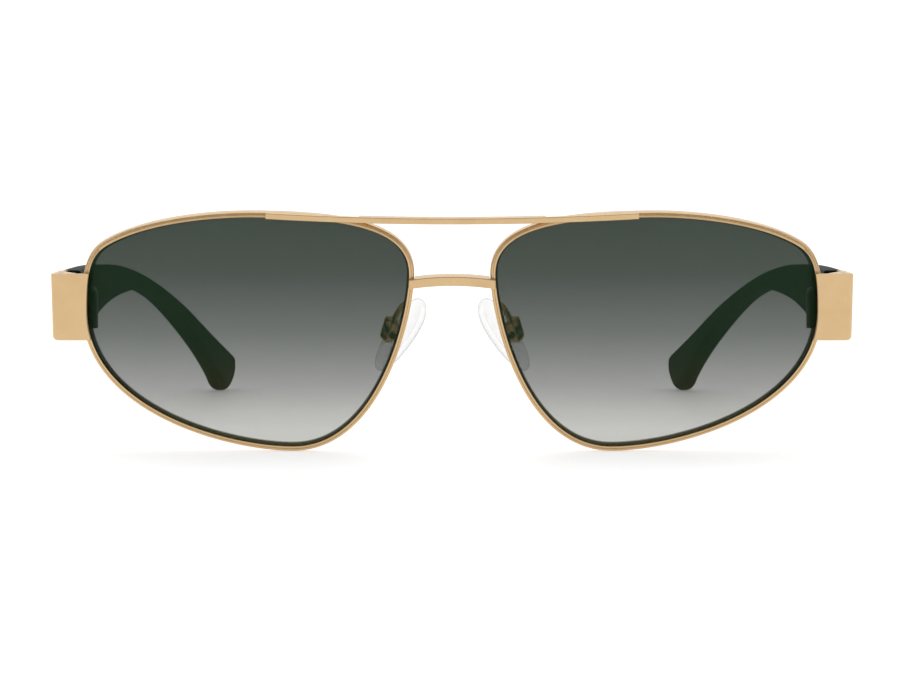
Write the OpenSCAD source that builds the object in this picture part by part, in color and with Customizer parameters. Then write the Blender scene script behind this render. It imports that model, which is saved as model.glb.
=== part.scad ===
// Aviator sunglasses: two wire rims joined by a nose bridge and a brow bar, wrap-round end
// pieces, hinged temples that bend down behind the ears, and rocking nose pads.
// +X is the wearer's left, +Y runs back along the temples, +Z is up.
// The sunglasses stand on the bottoms of the rims and on the temple tips, at z = 0.
// One side is drawn, the left one, and the other is its mirror image.

/* [Lenses] */
// Width of one lens opening
lens_w = 59.5; // [48:0.5:72]
// Height of one lens opening
lens_h = 43; // [35:0.5:52]
// Gap between the two lens openings at the nose
lens_gap = 15.8; // [13:0.1:22]
// Thickness of a lens
lens_t = 1.9; // [1.5:0.1:2.4]
// Radius of the lens surface
lens_r = 150; // [110:1:400]
// Distance of the lens's foremost point from the nose edge of its opening
lens_vertex = 18; // [10:0.5:24]
// Height of the ridge round the lens that sits in the rim's groove
ridge_h = 0.5; // [0.3:0.05:0.6]
// Thickness of that ridge
ridge_t = 1; // [0.7:0.05:1.2]
// Clearance of the lens in the rim
lens_play = 0.06; // [0.02:0.01:0.1]

/* [Rims] */
// Width of the rim wire seen from the front
rim_w = 0.95; // [0.85:0.05:1.6]
// How far the rim stands in front of the lens
rim_front = 0.25; // [0.1:0.05:0.6]
// How far the rim stands behind the lens
rim_back = 0.3; // [0.1:0.05:0.8]
// Angle by which the tops of the rims lean forwards
lean = 8; // [0:0.5:12]
// Slit of the rim at the closing block
rim_slit = 0.2; // [0.1:0.05:0.4]

/* [Bridge and brow bar] */
// Height of the nose bridge's front
bridge_h = 1.75; // [1.2:0.05:2.5]
// Rise of the nose bridge's arch
bridge_arch = 0.62; // [0:0.01:1.5]
// Distance of the bridge's underside below the narrowest point of the nose gap
bridge_drop = 2; // [1:0.05:5]
// Thickness of the straps that lie on the rims
strap_t = 0.9; // [0.6:0.05:1.4]
// Depth of the nose bridge between the rims
bridge_t = 3.1; // [2:0.1:4]
// Height of the brow bar
bar_h = 1.1; // [0.9:0.05:2]
// Depth of the brow bar between the rims
bar_t = 2; // [1.4:0.1:3]
// Half the length of the brow bar
bar_reach = 34.1; // [28:0.1:38]
// Dip of the brow bar at its middle
bar_dip = 1; // [0:0.1:2]

/* [End pieces] */
// Height of an end piece
end_h = 12.4; // [11.5:0.1:15]
// Height of the end piece's underside above the rim's closing slit, negative downwards
end_low = -5.4; // [-6:0.1:-5]
// Thickness of the plate in front of the rim
plate_t = 1; // [0.8:0.05:1.3]
// Thickness of the arm that runs back to the hinge
arm_t = 1.4; // [1.2:0.05:1.8]
// Height of each half of the closing block
lock_h = 2.5; // [2.2:0.1:3]
// Width of the closing block
lock_w = 2.8; // [2.6:0.1:3.1]
// Depth of the closing block
lock_d = 3.8; // [3:0.1:4]
// Diameter of the closing screw
lock_screw_d = 1.2; // [1:0.1:1.4]

/* [Hinges] */
// Distance of the hinge axis behind the rims' closing slits
hinge_behind = 7.6; // [7.3:0.1:9.7]
// Angle by which the temples converge at the hinges
splay = 5.5; // [3:0.5:7]
// Outer radius of the hinge knuckles
knuckle_r = 1.5; // [1.3:0.05:1.6]
// Height of the hinge
hinge_h = 7; // [6:0.1:8]
// Height of the middle knuckle
middle_h = 2.6; // [2:0.1:3]
// Gap between knuckles
knuckle_gap = 0.1; // [0.06:0.01:0.2]
// Diameter of the hinge screw
hinge_screw_d = 1.4; // [1.2:0.1:1.6]
// Radial clearance of the moving knuckle on its screw
running_play = 0.05; // [0.02:0.01:0.09]
// Gap between the end piece and the temple's front end
butt_gap = 0.25; // [0.15:0.05:0.5]
// Thickness of the hinge plate on the temple
leaf_t = 0.75; // [0.6:0.05:0.9]
// Length of the hinge plate on the temple
leaf_l = 10.5; // [9:0.5:12]
// Diameter of the rivets
rivet_d = 1.2; // [1:0.1:1.4]

/* [Temples] */
// Length of a temple from its hinge
temple_l = 128.7; // [110:0.1:145]
// Thickness of a temple
temple_t = 3.8; // [3.4:0.1:4.6]
// Length of the straight stretch at the front
temple_straight = 35; // [30:1:60]
// Radius of the inward curve behind it
temple_curve_r = 400; // [300:5:800]
// Depth of a temple at its waist
waist_h = 4; // [4:0.1:8]
// Distance of the waist from the hinge
waist_at = 59; // [50:1:64]
// Depth of the temple tip
tip_h = 7.4; // [7:0.1:11]
// Thickness of the metal core inside a temple
core_t = 1.2; // [0.8:0.1:1.5]
// Depth of that core
core_h = 2.2; // [1.6:0.1:2.6]

/* [Nose pads] */
// Length of a nose pad
pad_l = 15.8; // [12:0.1:17]
// Width of a nose pad
pad_w = 7; // [6:0.1:8.5]
// Thickness of a nose pad at its middle
pad_t = 2.35; // [2:0.05:3]
// Tilt of a nose pad seen from the front
pad_tilt = 33; // [15:1:35]
// Angle between a nose pad's face and the front of the sunglasses
pad_turn = 57; // [45:1:65]
// Distance of the pad's rocking screw behind the foot of the rims
pad_back = 10.2; // [9:0.1:12]
// Distance of that screw outwards of the nose edge of the lens opening
pad_side = 3.9; // [3.4:0.1:5]
// Distance of that screw below the narrowest point of the nose gap
pad_drop = 12.7; // [10:0.1:14]
// Thickness of the pad arm's wire
wire_d = 1.1; // [0.8:0.05:1.3]
// Diameter of the rocking screw
pad_screw_d = 1; // [0.8:0.05:1.1]
// Angle by which the pad's box leans back from the pad's own direction
box_turn = 20; // [12:1:22]
// Height of the pad's back above its rocking screw
pad_seat = 1.75; // [1.7:0.05:2.2]

/* [Hidden] */
$fn = 48;

gold = [0.83, 0.69, 0.48];
steel = [0.72, 0.72, 0.72];
tinted = [0.35, 0.42, 0.37, 0.7];
acetate = [0.12, 0.17, 0.13];
clear = [0.92, 0.92, 0.92, 0.5];
braze = 0.03;   // gap that the brazing fills between metal pieces
far = 200;      // reach of the blocks that cut along a plane

// ---- outline of a lens opening, in the plane of the front: x outwards, v upwards ----

// v = 0 is the foot of the rims
mid_x = lens_gap / 2 + lens_w / 2;
mid_v = rim_w + lens_h / 2;

// Anchors in half widths and half heights from the middle of the opening:
// place, direction of travel, handle before and handle after.
// They run anticlockwise: temple side, upper outer corner, top, nose, bottom.
anchors = [
    [[1, 0.14], [0, 1], 0.84, 0.37],
    [[0.87, 0.72], [-0.756, 0.654], 0.13, 0.32],
    [[-0.055, 1], [-1, 0], 0.27, 0.54],
    [[-1, 0.512], [0, -1], 0.395, 0.325],
    [[-0.274, -1], [1, 0], 0.54, 0.4]
];
steps = [12, 22, 22, 26, 30];

function place(a) = [mid_x + a[0].x * lens_w / 2, mid_v + a[0].y * lens_h / 2];
function handle(a, length) = [a[1].x * lens_w / 2, a[1].y * lens_h / 2] * length;
function curve(p, t) = let(s = 1 - t)
    s * s * s * p[0] + 3 * s * s * t * p[1] + 3 * s * t * t * p[2] + t * t * t * p[3];
function slope(p, t) = let(s = 1 - t)
    s * s * (p[1] - p[0]) + 2 * s * t * (p[2] - p[1]) + t * t * (p[3] - p[2]);
function span(i) = let(a = anchors[i], b = anchors[(i + 1) % len(anchors)])
    [place(a), place(a) + handle(a, a[3]), place(b) - handle(b, b[2]), place(b)];
function outward(d) = [d.y, -d.x] / norm(d);

// Points of the opening and the outward direction at each, from the closing slit round to it
opening = [
    for (i = [0 : len(anchors) - 1])
        for (k = [0 : steps[i] - 1])
            curve(span(i), k / steps[i])
];
outwards = [
    for (i = [0 : len(anchors) - 1])
        for (k = [0 : steps[i] - 1])
            outward(slope(span(i), k / steps[i]))
];
function widened(by) = [for (i = [0 : len(opening) - 1]) opening[i] + by * outwards[i]];

slit_x = lens_gap / 2 + lens_w;
slit_v = place(anchors[0]).y;
nose_v = place(anchors[3]).y;
top_v = mid_v + lens_h / 2;
nose_x = lens_gap / 2;

// Depth of the lens's front surface behind its foremost point
vertex_x = nose_x + lens_vertex;
function depth(x, v) = lens_r - sqrt(pow(lens_r, 2) - pow(x - vertex_x, 2) - pow(v - mid_v, 2));

// The foot of the rims, where they rest
foot = min([
    for (i = [0 : len(opening) - 1])
        let(p = opening[i] + rim_w * outwards[i])
            p.y * cos(lean) + (depth(p.x, p.y) - rim_front) * sin(lean)
]);

// ---- side and plan of a temple: s along it, u outwards, from the hinge axis ----

slit_z = slit_v * cos(lean) + (depth(slit_x, slit_v) + lens_t / 2) * sin(lean) - foot;
slit_y = depth(slit_x, slit_v) * cos(lean) - slit_v * sin(lean);
hinge_back = slit_y + hinge_behind;   // the hinge keeps its place behind the closing blocks
end_z = slit_z + end_low;
hinge_share = 0.42;   // height of the hinge's middle, as a share of the end piece's
hinge_z = end_z + hinge_share * end_h;
temple_top = end_z + end_h;
hinge_x = slit_x;
inner_u = knuckle_r + 0.2;
outer_u = inner_u + temple_t;

// The upper edge falls in one curve, the lower one rises to the waist and then falls
tip_round = 7.2;      // length of the rounded end of the tip
tip_l = temple_l - tip_round;
heel_z = 1.9;         // height of the lower edge where the rounded end begins
heel_lead_z = 7;      // height from which the lower edge runs down to it
toe_z = 3.6;          // height at which the rounded end meets the back
waist_fall = 3.4;     // how far the upper edge has fallen at the waist
upper_fall = 5.6;     // how far its last stretch sets out below the top
waist_z = temple_top - waist_fall - waist_h;
upper_edge = [
    [0, temple_top], [0.45 * temple_l, temple_top],
    [0.655 * temple_l, temple_top - upper_fall], [temple_l, tip_h]
];
lower_front = [
    [0, end_z + 0.2], [0.28 * waist_at, end_z + 0.9],
    [0.3 * waist_at, waist_z], [waist_at, waist_z]
];
lower_back = [
    [waist_at, waist_z], [1.5 * waist_at, waist_z], [0.9 * temple_l, heel_lead_z],
    [tip_l, heel_z]
];
tip_end = [
    [tip_l, heel_z], [tip_l + 0.33 * tip_round, -0.9],
    [temple_l - 0.3 * tip_round, -0.4], [temple_l, toe_z]
];
edge_steps = [12, 16, 10, 24];   // of those four curves, from the lower front round to the top
function edge(p, n) = [for (k = [0 : n - 1]) curve(p, k / n)];
rough_side = concat(
    edge(lower_front, edge_steps[0]), edge(lower_back, edge_steps[1]),
    edge(tip_end, edge_steps[2]), [[temple_l, toe_z]],
    [for (k = [edge_steps[3] : -1 : 0]) curve(upper_edge, k / edge_steps[3])]
);
tip_low = min([for (p = rough_side) p.y]);
// The lowest point of the tip comes down to z = 0, and the front end stays where it is
temple_side = [for (p = rough_side) [p.x, p.y - tip_low * pow(p.x / temple_l, 2)]];

function bend(s) = pow(max(s - temple_straight, 0), 2) / (2 * temple_curve_r);
bend_steps = 24;
function strip(from_u, to_u, from_s, to_s) = let(
    line = concat([from_s], [
        for (k = [0 : bend_steps])
            let(s = temple_straight + k * (temple_l - temple_straight) / bend_steps)
                if (s > from_s && s < to_s) s
    ], [to_s]))
    concat(
        [for (s = line) [to_u - bend(s), s]],
        [for (k = [len(line) - 1 : -1 : 0]) [from_u - bend(line[k]), line[k]]]
    );

// ---- places in the whole model ----

front_y = (depth(bar_reach, top_v) - rim_front - strap_t) * cos(lean) - (top_v + bar_h) * sin(lean);
back_y = hinge_back + max([
    for (p = strip(inner_u, outer_u, 0, temple_l)) p.x * sin(splay) + p.y * cos(splay)
]);
centre_y = (front_y + back_y) / 2;

module whole() translate([0, -centre_y, 0]) children();
// The front's own frame: x outwards, y backwards through the lens, z up along the front
module leaning() translate([0, 0, -foot]) rotate([lean, 0, 0]) children();
// The temple's own frame: x outwards, y back along the temple, z up, from the hinge axis
module at_hinge() translate([hinge_x, hinge_back, 0]) rotate([0, 0, splay]) children();
module right_side() mirror([1, 0, 0]) children();

// The opening made wider, as a block from one depth to another
module opening_block(by, from, to)
    translate([0, to, 0]) rotate([90, 0, 0]) linear_extrude(to - from) polygon(widened(by));

// ---- rim ----

groove_h = ridge_h + lens_play;
groove_front = (lens_t - ridge_t) / 2 - lens_play;
groove_back = (lens_t + ridge_t) / 2 + lens_play;
rim_end = lens_t + rim_back;
rim_edge = 0.2;
// Section of the rim: distance outwards from the opening, depth behind the lens's front
rim_section = [
    [0, -rim_front], [rim_w - rim_edge, -rim_front], [rim_w, rim_edge - rim_front],
    [rim_w, rim_end - rim_edge], [rim_w - rim_edge, rim_end], [0, rim_end],
    [0, groove_back], [groove_h, groove_back], [groove_h, groove_front], [0, groove_front]
];

// Faces of a bar swept through rings of m points, with flat ends
function sweep_faces(rings, m) = concat(
    [[for (j = [0 : m - 1]) j]],
    [for (i = [0 : rings - 2]) for (j = [0 : m - 1]) let(a = i * m + j, b = i * m + (j + 1) % m)
        [a, a + m, b]],
    [for (i = [0 : rings - 2]) for (j = [0 : m - 1]) let(a = i * m + j, b = i * m + (j + 1) % m)
        [b, a + m, b + m]],
    [[for (j = [m - 1 : -1 : 0]) (rings - 1) * m + j]]
);

module rim() {
    n = len(opening);
    // The first and the last ring stand half a slit from the closing point
    rail = concat([opening[0] + [0, rim_slit / 2]], [for (i = [1 : n - 1]) opening[i]],
        [opening[0] - [0, rim_slit / 2]]);
    away = concat(outwards, [outwards[0]]);
    rings = [
        for (i = [0 : n]) for (q = rim_section)
            let(p = rail[i] + q[0] * away[i]) [p.x, depth(p.x, p.y) + q[1], p.y]
    ];
    color(gold) whole() leaning()
        polyhedron(rings, sweep_faces(n + 1, len(rim_section)), convexity = 10);
}

// ---- lens ----

module lens_shell(by, from, to) intersection() {
    opening_block(by, -5, 25);
    difference() {
        translate([vertex_x, lens_r + from, mid_v]) sphere(lens_r, $fn = 200);
        translate([vertex_x, lens_r + to, mid_v]) sphere(lens_r, $fn = 200);
    }
}

module lens() color(tinted) whole() leaning() {
    lens_shell(-lens_play, 0, lens_t);
    lens_shell(ridge_h, (lens_t - ridge_t) / 2, (lens_t + ridge_t) / 2);
}

// ---- nose bridge and brow bar ----

// Height of a bar's middle line, rising by so much at the middle of its length
function arched(x, reach, rise) = rise * (1 - pow(x / reach, 2));
arch_steps = 24;
module bowed_strip(reach, low, h, rise, from, to, ends = 1) {
    xs = [for (k = [-arch_steps : arch_steps]) k * ends * reach / arch_steps];
    line = [for (x = xs) [x, low + arched(x, reach, rise)]];
    translate([0, to, 0]) rotate([90, 0, 0]) linear_extrude(to - from)
        polygon(concat(line, [for (k = [len(line) - 1 : -1 : 0]) line[k] + [0, h]]));
}

bridge_low = nose_v - bridge_drop - bridge_arch;
bridge_seat = depth(nose_x, bridge_low) - rim_front - 0.15;
module nose_bridge() color(gold) whole() leaning() {
    bowed_strip(nose_x, bridge_low, bridge_h, bridge_arch, bridge_seat - strap_t, bridge_seat);
    difference() {
        bowed_strip(nose_x, bridge_low, bridge_h, bridge_arch, bridge_seat,
            bridge_seat - strap_t + bridge_t);
        opening_block(rim_w + braze, -5, 25);
        right_side() opening_block(rim_w + braze, -5, 25);
    }
}

bar_low = top_v - 0.05;
bar_seat = depth(vertex_x, bar_low - bar_dip) - rim_front - braze;
bar_free = 0.5;   // share of the bar's length that is clear of both rims
module brow_bar() color(gold) whole() leaning() {
    bowed_strip(bar_reach, bar_low, bar_h, -bar_dip, bar_seat - strap_t, bar_seat);
    bowed_strip(bar_reach, bar_low, bar_h, -bar_dip, bar_seat - strap_t,
        bar_seat - strap_t + bar_t, bar_free);
}

// ---- end piece and closing block ----

plate_lap = 1.2;              // the plate clears the rim from this far inwards of the slit
plate_back = depth(slit_x - plate_lap, mid_v) - rim_front - 0.05;
plate_front = plate_back - plate_t;
arm_u = outer_u - arm_t;
lock_in = slit_x + rim_w - 0.5;
lock_out = slit_x + rim_w + lock_w;
lock_near = plate_back + 0.1;  // just behind the plate
lock_axis_x = slit_x + rim_w + lock_w / 2 + 0.1;
lock_axis_y = lock_near + lock_d / 2;
lock_top = slit_v + rim_slit / 2 + lock_h;
lock_play = 0.1;
lock_skin = 0.4;              // metal above the closing screw's blind hole
plate_reach = 3;              // width of the plate inwards of the closing slit
web_front = 11;               // distances of the web's corners in front of the hinge axis
web_inner = 8.4;
web_outer = 3.4;
web_u = 1.2;                  // how far inwards the web reaches

module in_end_band() intersection() {
    children();
    translate([0, -far / 2, end_z]) cube([far, far, end_h]);
}

module endpiece() color(gold) whole() difference() {
    in_end_band() union() {
        leaning() translate([slit_x - plate_reach, plate_front, 0])
            cube([plate_reach + 2 * outer_u, plate_t, far / 2]);
        at_hinge() translate([arm_u, -2 * hinge_back, 0])
            cube([arm_t, 2 * hinge_back - butt_gap, far / 2]);
        // Web that stiffens the bend
        at_hinge() linear_extrude(far / 2) polygon([
            [web_u, -web_front], [web_u, -web_inner], [arm_u, -web_outer],
            [outer_u, -web_outer], [outer_u, -web_front]
        ]);
    }
    // Outer face of the arm, front of the plate and edge of the lens opening
    at_hinge() translate([outer_u, -far / 2, 0]) cube([far, far, far]);
    leaning() translate([0, plate_front - far, 0]) cube([far, far, far]);
    leaning() opening_block(0, -far / 4, plate_back + 0.2);
    // Room behind the plate for the rim, and below for the closing block
    leaning() translate([slit_x - 2 * plate_reach, plate_back, 0])
        cube([2 * plate_reach + rim_w + lock_play, far / 4, far / 2]);
    leaning() translate([slit_x, plate_back, 0])
        cube([rim_w + lock_w + lock_play, lock_d + 2 * lock_play, lock_top + braze]);
}

module lock_half(low) difference() {
    translate([lock_in, lock_near, low]) cube([lock_out - lock_in, lock_d, lock_h]);
    opening_block(rim_w + braze, -5, 25);
}

module rim_lock_upper() color(gold) whole() leaning() difference() {
    lock_half(slit_v + rim_slit / 2);
    translate([lock_axis_x, lock_axis_y, slit_v])
        cylinder(h = lock_h - lock_skin + rim_slit / 2, d = lock_screw_d + 2 * braze);
}

module rim_lock_lower() color(gold) whole() leaning() difference() {
    lock_half(slit_v - rim_slit / 2 - lock_h);
    translate([lock_axis_x, lock_axis_y, slit_v - 2 * lock_h])
        cylinder(h = 2 * lock_h, d = lock_screw_d + lock_play);
}

driver_slot = 0.24;   // width of the slot for the screwdriver
module slotted_head(d, h) difference() {
    cylinder(h = h, d = d);
    translate([-d, -driver_slot / 2, -h / 2]) cube([2 * d, driver_slot, 0.95 * h]);
}

lock_head_h = 0.6;
module rim_lock_screw() color(steel) whole() leaning()
    translate([lock_axis_x, lock_axis_y, slit_v - rim_slit / 2 - lock_h]) {
        cylinder(h = 2 * lock_h + rim_slit - 1.5 * lock_skin, d = lock_screw_d);
        translate([0, 0, -lock_head_h]) slotted_head(lock_screw_d + 0.8, lock_head_h);
    }

// ---- hinge ----

outer_h = (hinge_h - middle_h) / 2 - knuckle_gap;
module at_knuckles() at_hinge() translate([0, 0, hinge_z]) children();

block_u = inner_u + 0.15;   // inner side of the block that is soldered to the arm
block_l = 3.2;              // its length in front of the hinge axis
module hinge_front_leaf() color(gold) whole() at_knuckles() difference() {
    union() {
        for (low = [-hinge_h / 2, hinge_h / 2 - outer_h]) {
            translate([0, 0, low]) cylinder(h = outer_h, r = knuckle_r);
            translate([0, -knuckle_r, low])
                cube([arm_u - braze, knuckle_r - butt_gap, outer_h]);
        }
        translate([block_u, -block_l, -hinge_h / 2])
            cube([arm_u - braze - block_u, block_l - butt_gap, hinge_h]);
    }
    translate([0, 0, -hinge_h]) cylinder(h = 2 * hinge_h, d = hinge_screw_d + 2 * braze);
}

leaf_u = inner_u - braze - leaf_t;
leaf_from = knuckle_r + 0.3;   // the plate starts just behind the knuckles
neck_u = 0.2;                  // inner side of the neck between knuckle and plate
rivet_at = [0.42 * leaf_l, 0.82 * leaf_l];
rivet_play = 0.04;
rivet_head_h = 0.35;
module rivet_row(from_u, to_u, d) for (s = rivet_at)
    translate([from_u, s, 0]) rotate([0, 90, 0]) cylinder(h = to_u - from_u, d = d);

module hinge_temple_leaf() color(gold) whole() at_knuckles() difference() {
    union() {
        translate([0, 0, -middle_h / 2]) cylinder(h = middle_h, r = knuckle_r);
        translate([neck_u, 0, -middle_h / 2])
            cube([inner_u - braze - neck_u, leaf_from + 0.6, middle_h]);
        translate([leaf_u, leaf_from, -hinge_h / 2 + knuckle_gap])
            cube([leaf_t, leaf_l - leaf_from, hinge_h - 2 * knuckle_gap]);
    }
    translate([0, 0, -hinge_h]) cylinder(h = 2 * hinge_h, d = hinge_screw_d + 2 * running_play);
    rivet_row(leaf_u - 1, inner_u, rivet_d + rivet_play);
}

rivet_end = inner_u + 0.75 * temple_t;
module hinge_rivets() color(steel) whole() at_knuckles() {
    rivet_row(leaf_u, rivet_end, rivet_d);
    rivet_row(leaf_u - rivet_head_h, leaf_u, rivet_d + 0.8);
}

hinge_head_h = 0.5;
module hinge_screw() color(steel) whole() at_knuckles() {
    translate([0, 0, -hinge_h / 2]) cylinder(h = hinge_h, d = hinge_screw_d);
    translate([0, 0, hinge_h / 2 + hinge_head_h]) mirror([0, 0, 1])
        slotted_head(2 * knuckle_r - 0.4, hinge_head_h);
}

// ---- temple ----

core_from = leaf_l + 4;      // the core starts behind the hinge plate
core_to = temple_l - 9;      // and ends before the tip
core_fall = 0.6;             // fall of its middle line over the last millimetre
core_u = (inner_u + outer_u) / 2;
core_play = 0.03;
core_steps = 20;
lower_count = edge_steps[0] + edge_steps[1] + edge_steps[2];
lower_line = [for (i = [0 : lower_count - 1]) temple_side[i]];
upper_line = [for (i = [len(temple_side) - 1 : -1 : lower_count + 1]) temple_side[i]];
function middle_z(s) = (lookup(s, lower_line) + lookup(s, upper_line)) / 2;

module side_block(points) rotate([90, 0, 90]) linear_extrude(far / 2, center = true)
    polygon(points);

// The core follows the middle of the temple's height; its hole is the same bar with play round it
module core_bar(play) {
    line = [for (k = [0 : core_steps]) core_from + k * (core_to - core_from) / core_steps];
    half = core_h / 2 + play;
    intersection() {
        linear_extrude(far / 2)
            polygon(strip(core_u - core_t / 2 - play, core_u + core_t / 2 + play,
                core_from - play, core_to + play));
        side_block(concat(
            [[core_from - 1, middle_z(core_from) - half]],
            [for (s = line) [s, middle_z(s) - half]],
            [[core_to + 1, middle_z(core_to) - half - core_fall]],
            [[core_to + 1, middle_z(core_to) + half - core_fall]],
            [for (k = [core_steps : -1 : 0]) [line[k], middle_z(line[k]) + half]],
            [[core_from - 1, middle_z(core_from) + half]]
        ));
    }
}

module temple() color(acetate) whole() at_hinge() difference() {
    intersection() {
        linear_extrude(far / 2) polygon(strip(inner_u, outer_u, 0, temple_l));
        side_block(temple_side);
    }
    core_bar(core_play);
    translate([0, 0, hinge_z]) rivet_row(inner_u - 1, rivet_end + rivet_play, rivet_d + rivet_play);
}

module temple_core() color(steel) whole() at_hinge() core_bar(0);

// ---- nose pad, its box, screw and arm ----

// The pad's own frame: x across the pad, y along it and up, z out of its face to the nose
pad_x = nose_x + pad_side;
pad_v = nose_v - pad_drop;
pad_along = [-sin(pad_tilt), 0, cos(pad_tilt)];
pad_lie = [cos(pad_tilt), 0, sin(pad_tilt)];
pad_across = cos(pad_turn) * pad_lie + [0, sin(pad_turn), 0];
pad_out = -sin(pad_turn) * pad_lie + [0, cos(pad_turn), 0];
module at_pad() leaning() multmatrix([
    [pad_across.x, pad_along.x, pad_out.x, pad_x],
    [pad_across.y, pad_along.y, pad_out.y, pad_back],
    [pad_across.z, pad_along.z, pad_out.z, pad_v],
    [0, 0, 0, 1]
]) children();

// The box is a short tube of rectangular section, which takes the pad's boss from the front
box_w = 3;
box_l = 4.6;
box_up = 0.45;       // how far the box's middle lies above its screw
box_top = 0.8;       // from this height above the screw's axis
box_floor = -0.75;   // down to this one
box_wall = 0.45;
boss_r = 1;
boss_w = box_w - 2 * box_wall - 0.3;
boss_below = 0.75;   // reach of the boss below and above the screw
boss_above = 1.1;

module at_box() at_pad() rotate([-box_turn, 0, 0]) children();

module along_x(r, from, to)
    translate([from, 0, 0]) rotate([0, 90, 0]) cylinder(h = to - from, r = r);

module pad_box() color(gold) whole() at_box() difference() {
    translate([-box_w / 2, box_up - box_l / 2, box_floor])
        cube([box_w, box_l, box_top - box_floor]);
    translate([box_wall - box_w / 2, box_up + box_wall - box_l / 2, box_floor - 1])
        cube([box_w - 2 * box_wall, box_l - 2 * box_wall, box_top - box_floor + 2]);
    along_x(pad_screw_d / 2 + braze, -box_w, box_w);
}

pad_head_h = 0.4;
module pad_screw() color(steel) whole() at_box() {
    along_x(pad_screw_d / 2, -box_w / 2, box_w / 2);
    translate([-box_w / 2 - pad_head_h, 0, 0]) rotate([0, 90, 0])
        slotted_head(pad_screw_d + 0.3, pad_head_h);
}

// Outline of the pad: round at the top, narrower at the bottom
pad_up = 0.49 * pad_l;
pad_down = 0.51 * pad_l;
pad_wide = 0.1 * pad_l;
pad_half = concat(
    edge([[0, -pad_down], [0.3 * pad_w, -pad_down], [pad_w / 2, -0.22 * pad_l],
        [pad_w / 2, pad_wide]], 14),
    edge([[pad_w / 2, pad_wide], [pad_w / 2, 0.34 * pad_l], [0.32 * pad_w, pad_up],
        [0, pad_up]], 12)
);
pad_outline = concat(pad_half,
    [for (k = [len(pad_half) : -1 : 1]) let(p = k == len(pad_half) ? [0, pad_up] : pad_half[k])
        [-p.x, p.y]]);
pad_dome_r = 20;
pad_rise = 0.6;       // how far the pad's middle lies above its screw
pad_inset = 0.4;      // and how far towards the front

module nose_pad() color(clear) whole() at_pad() difference() {
    union() {
        translate([-pad_inset, pad_rise, 0]) intersection() {
            translate([0, 0, pad_seat]) linear_extrude(pad_t) polygon(pad_outline);
            translate([0, 0, pad_seat + pad_t - pad_dome_r]) sphere(pad_dome_r, $fn = 120);
        }
        along_x(boss_r, -boss_w / 2, boss_w / 2);
        translate([-boss_w / 2, -boss_below, 0])
            cube([boss_w, boss_below + boss_above, pad_seat + 0.1]);
    }
    along_x(pad_screw_d / 2 + running_play, -box_w, box_w);
}

// Wire from the back of the rim to the top of the box
arm_foot_i = steps[0] + steps[1] + steps[2] + 5;   // ring of the rim that the wire stands on
arm_side = 0.75;          // the wire's place towards the front on the box's end
arm_lead = [0, 3.6, 0.2]; // how it sets out from the rim
arm_drop = 2.6;           // straight way down onto the box
arm_foot = let(p = opening[arm_foot_i] + 0.5 * rim_w * outwards[arm_foot_i])
    [p.x, depth(p.x, p.y) + rim_end + braze, p.y];
box_along = cos(box_turn) * pad_along - sin(box_turn) * pad_out;
arm_head = [pad_x, pad_back, pad_v] - arm_side * pad_across
    + (box_up + box_l / 2 + braze) * box_along;
// It leaves the rim and meets the box square on
arm_line = [arm_foot, arm_foot + arm_lead, arm_head + arm_drop * box_along, arm_head];
arm_rings = 18;
wire_sides = 10;

module pad_arm() {
    points = [
        for (i = [0 : arm_rings]) let(
            t = i / arm_rings,
            c = curve(arm_line, t),
            d = slope(arm_line, t) / norm(slope(arm_line, t)),
            across = cross(d, [1, 0, 0]) / norm(cross(d, [1, 0, 0])),
            other = cross(d, across))
            for (j = [0 : wire_sides - 1])
                c + wire_d / 2 * (cos(360 * j / wire_sides) * across + sin(360 * j / wire_sides) * other)
    ];
    color(gold) whole() leaning()
        polyhedron(points, sweep_faces(arm_rings + 1, wire_sides), convexity = 4);
}

rim();  // rim_left
right_side() rim();  // rim_right
lens();  // lens_left
right_side() lens();  // lens_right
nose_bridge();
brow_bar();
rim_lock_upper();  // rim_lock_upper_left
right_side() rim_lock_upper();  // rim_lock_upper_right
rim_lock_lower();  // rim_lock_lower_left
right_side() rim_lock_lower();  // rim_lock_lower_right
rim_lock_screw();  // rim_lock_screw_left
right_side() rim_lock_screw();  // rim_lock_screw_right
endpiece();  // endpiece_left
right_side() endpiece();  // endpiece_right
hinge_front_leaf();  // hinge_front_leaf_left
right_side() hinge_front_leaf();  // hinge_front_leaf_right
hinge_temple_leaf();  // hinge_temple_leaf_left
right_side() hinge_temple_leaf();  // hinge_temple_leaf_right
hinge_screw();  // hinge_screw_left
right_side() hinge_screw();  // hinge_screw_right
hinge_rivets();  // hinge_rivets_left
right_side() hinge_rivets();  // hinge_rivets_right
temple();  // temple_left
right_side() temple();  // temple_right
temple_core();  // temple_core_left
right_side() temple_core();  // temple_core_right
pad_arm();  // pad_arm_left
right_side() pad_arm();  // pad_arm_right
pad_box();  // pad_box_left
right_side() pad_box();  // pad_box_right
nose_pad();  // nose_pad_left
right_side() nose_pad();  // nose_pad_right
pad_screw();  // pad_screw_left
right_side() pad_screw();  // pad_screw_right
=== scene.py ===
"""Aviator sunglasses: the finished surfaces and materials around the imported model.

Lengths are in millimetres in the makers' frames below, and become metres as a mesh is made.
"""

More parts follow.
